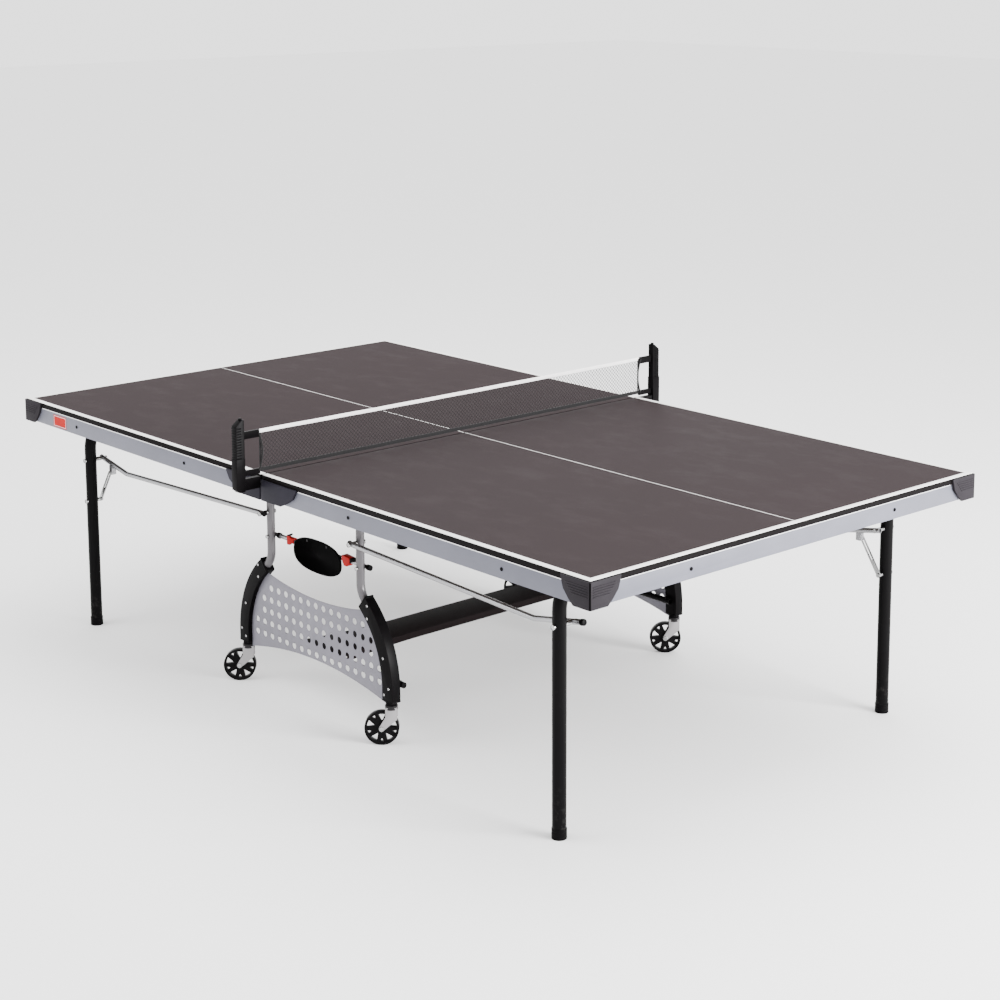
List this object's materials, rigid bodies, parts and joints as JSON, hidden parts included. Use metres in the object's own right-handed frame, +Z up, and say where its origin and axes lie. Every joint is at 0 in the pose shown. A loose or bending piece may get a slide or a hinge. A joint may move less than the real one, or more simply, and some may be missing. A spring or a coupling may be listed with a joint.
{
  "type": "folding ping pong table",
  "caption": "Full-size indoor ping pong table: halves fold up on a wheeled carriage, with leg frames held upright by link rods, and a net.",
  "frame": {"origin": "on the floor under the centre of the table", "axes": "+X along the table towards one end, +Y across the table along the net, +Z up"},
  "size_m": [2.752, 1.71, 0.931],
  "materials": {
    "board": "matt dark grey paint on fibreboard",
    "apron": "silver powder coat",
    "steel_dark": "black powder coat",
    "pad": "ribbed dark grey rubber",
    "leg_black": "black powder coat",
    "plastic_black": "fine grained black",
    "bolt": "zinc plated",
    "tube_silver": "silver powder coat",
    "panel_silver": "silver powder coat",
    "latch_red": "red",
    "fork_grey": "light grey",
    "wheel_black": "black",
    "net_post_black": "fine grained black",
    "net_mesh": "dark knotted net with a white top band"
  },
  "bodies": {
    "carriage": {"posts_near": "tube_silver", "posts_far": "tube_silver", "shrouds_near": "plastic_black", "shrouds_far": "plastic_black", "side_panel_near": "panel_silver", "side_panel_far": "panel_silver", "crossbar_near": "tube_silver", "crossbar_far": "tube_silver", "bar_caps": "plastic_black", "lower_tube_near": "leg_black", "lower_tube_far": "leg_black", "shelf": "leg_black", "name_plate_near": "plastic_black", "name_plate_far": "plastic_black", "frame_bolts": "bolt", "shroud_screws": "bolt"},
    "half_r": {"top_r": "board", "apron_sides_r": "apron", "apron_end_r": "apron", "under_rails_r": "steel_dark", "corner_pads_r": "pad", "centre_pads_r": "pad", "hinge_brackets_r": "steel_dark"},
    "legs_r": {"leg_frame_r": "leg_black", "foot_caps_r": "plastic_black", "leg_pins_r": "bolt"},
    "half_l": {"top_l": "board", "apron_sides_l": "apron", "apron_end_l": "apron", "under_rails_l": "steel_dark", "corner_pads_l": "pad", "centre_pads_l": "pad", "hinge_brackets_l": "steel_dark"},
    "legs_l": {"leg_frame_l": "leg_black", "foot_caps_l": "plastic_black", "leg_pins_l": "bolt"},
    "rods_r": {"rod_near_r": "tube_silver", "rod_far_r": "tube_silver", "rod_plug_near_r": "plastic_black"},
    "rods_l": {"rod_far_l": "tube_silver", "rod_near_l": "tube_silver", "rod_plug_far_l": "plastic_black"},
    "brace_r": {"brace_far_r": "tube_silver"},
    "brace_l": {"brace_near_l": "tube_silver"},
    "latch_near_r": {"latch_near_r": "latch_red"},
    "caster_near_r": {"fork_near_r": "fork_grey"},
    "wheel_near_r": {"wheel_near_r": "wheel_black"},
    "latch_far_l": {"latch_far_l": "latch_red"},
    "caster_far_l": {"fork_far_l": "fork_grey"},
    "wheel_far_l": {"wheel_far_l": "wheel_black"},
    "latch_near_l": {"latch_near_l": "latch_red"},
    "caster_near_l": {"fork_near_l": "fork_grey"},
    "wheel_near_l": {"wheel_near_l": "wheel_black"},
    "latch_far_r": {"latch_far_r": "latch_red"},
    "caster_far_r": {"fork_far_r": "fork_grey"},
    "wheel_far_r": {"wheel_far_r": "wheel_black"},
    "net_set": {"net_post_near": "net_post_black", "net_post_far": "net_post_black", "net": "net_mesh"}
  },
  "joints": [
    {"name": "fold_r", "type": "hinge", "parent": "carriage", "child": "half_r", "pos_m": [0.222, 0, 0.721], "axis": [0, -1, 0], "range_deg": [0, 90]},
    {"name": "leg_swing_r", "type": "hinge", "parent": "half_r", "child": "legs_r", "pos_m": [1.148, 0, 0.721], "axis": [0, -1, 0], "range_deg": [-90, 0]},
    {"name": "rod_swing_r", "type": "hinge", "parent": "carriage", "child": "rods_r", "pos_m": [0.222, 0, 0.569], "axis": [0, -1, 0], "range_deg": [0, 90]},
    {"name": "brace_swing_r", "type": "hinge", "parent": "legs_r", "child": "brace_r", "pos_m": [1.148, 0.625, 0.43], "axis": [0, -1, 0], "range_deg": [-60, 0]},
    {"name": "fold_l", "type": "hinge", "parent": "carriage", "child": "half_l", "pos_m": [-0.222, 0, 0.721], "axis": [0, 1, 0], "range_deg": [0, 90]},
    {"name": "leg_swing_l", "type": "hinge", "parent": "half_l", "child": "legs_l", "pos_m": [-1.148, 0, 0.721], "axis": [0, 1, 0], "range_deg": [-90, 0]},
    {"name": "rod_swing_l", "type": "hinge", "parent": "carriage", "child": "rods_l", "pos_m": [-0.222, 0, 0.569], "axis": [0, 1, 0], "range_deg": [0, 90]},
    {"name": "brace_swing_l", "type": "hinge", "parent": "legs_l", "child": "brace_l", "pos_m": [-1.148, -0.625, 0.43], "axis": [0, 1, 0], "range_deg": [-60, 0]},
    {"name": "latch_near_r", "type": "hinge", "parent": "carriage", "child": "latch_near_r", "pos_m": [0.148, -0.561, 0.493], "axis": [-1, 0, 0], "range_deg": [0, 60]},
    {"name": "latch_far_l", "type": "hinge", "parent": "carriage", "child": "latch_far_l", "pos_m": [-0.148, 0.561, 0.493], "axis": [1, 0, 0], "range_deg": [0, 60]},
    {"name": "latch_near_l", "type": "hinge", "parent": "carriage", "child": "latch_near_l", "pos_m": [-0.148, -0.561, 0.493], "axis": [1, 0, 0], "range_deg": [0, 60]},
    {"name": "latch_far_r", "type": "hinge", "parent": "carriage", "child": "latch_far_r", "pos_m": [0.148, 0.561, 0.493], "axis": [-1, 0, 0], "range_deg": [0, 60]},
    {"name": "caster_near_r_swivel", "type": "hinge", "parent": "carriage", "child": "caster_near_r", "pos_m": [0.35804, -0.58, 0.05], "axis": [0, 0, 1], "continuous": true},
    {"name": "wheel_near_r_roll", "type": "hinge", "parent": "caster_near_r", "child": "wheel_near_r", "pos_m": [0.3393, -0.60081, 0.05], "axis": [0.7431, -0.6691, 0], "continuous": true},
    {"name": "caster_far_l_swivel", "type": "hinge", "parent": "carriage", "child": "caster_far_l", "pos_m": [-0.35804, 0.58, 0.05], "axis": [0, 0, 1], "continuous": true},
    {"name": "wheel_far_l_roll", "type": "hinge", "parent": "caster_far_l", "child": "wheel_far_l", "pos_m": [-0.37678, 0.55919, 0.05], "axis": [0.7431, -0.6691, 0], "continuous": true},
    {"name": "caster_near_l_swivel", "type": "hinge", "parent": "carriage", "child": "caster_near_l", "pos_m": [-0.35804, -0.58, 0.05], "axis": [0, 0, 1], "continuous": true},
    {"name": "wheel_near_l_roll", "type": "hinge", "parent": "caster_near_l", "child": "wheel_near_l", "pos_m": [-0.37678, -0.60081, 0.05], "axis": [0.7431, -0.6691, 0], "continuous": true},
    {"name": "caster_far_r_swivel", "type": "hinge", "parent": "carriage", "child": "caster_far_r", "pos_m": [0.35804, 0.58, 0.05], "axis": [0, 0, 1], "continuous": true},
    {"name": "wheel_far_r_roll", "type": "hinge", "parent": "caster_far_r", "child": "wheel_far_r", "pos_m": [0.3393, 0.55919, 0.05], "axis": [0.7431, -0.6691, 0], "continuous": true},
    {"name": "net_lift", "type": "slide", "parent": "carriage", "child": "net_set", "axis": [0, 0, 1], "range_m": [0, 0.1]}
  ],
  "couplings": [
    {"joint": "leg_swing_r", "follows": "fold_r", "ratio": -1},
    {"joint": "rod_swing_r", "follows": "fold_r", "ratio": 1},
    {"joint": "brace_swing_r", "follows": "fold_r", "ratio": -0.6644},
    {"joint": "leg_swing_l", "follows": "fold_l", "ratio": -1},
    {"joint": "rod_swing_l", "follows": "fold_l", "ratio": 1},
    {"joint": "brace_swing_l", "follows": "fold_l", "ratio": -0.6644}
  ]
}
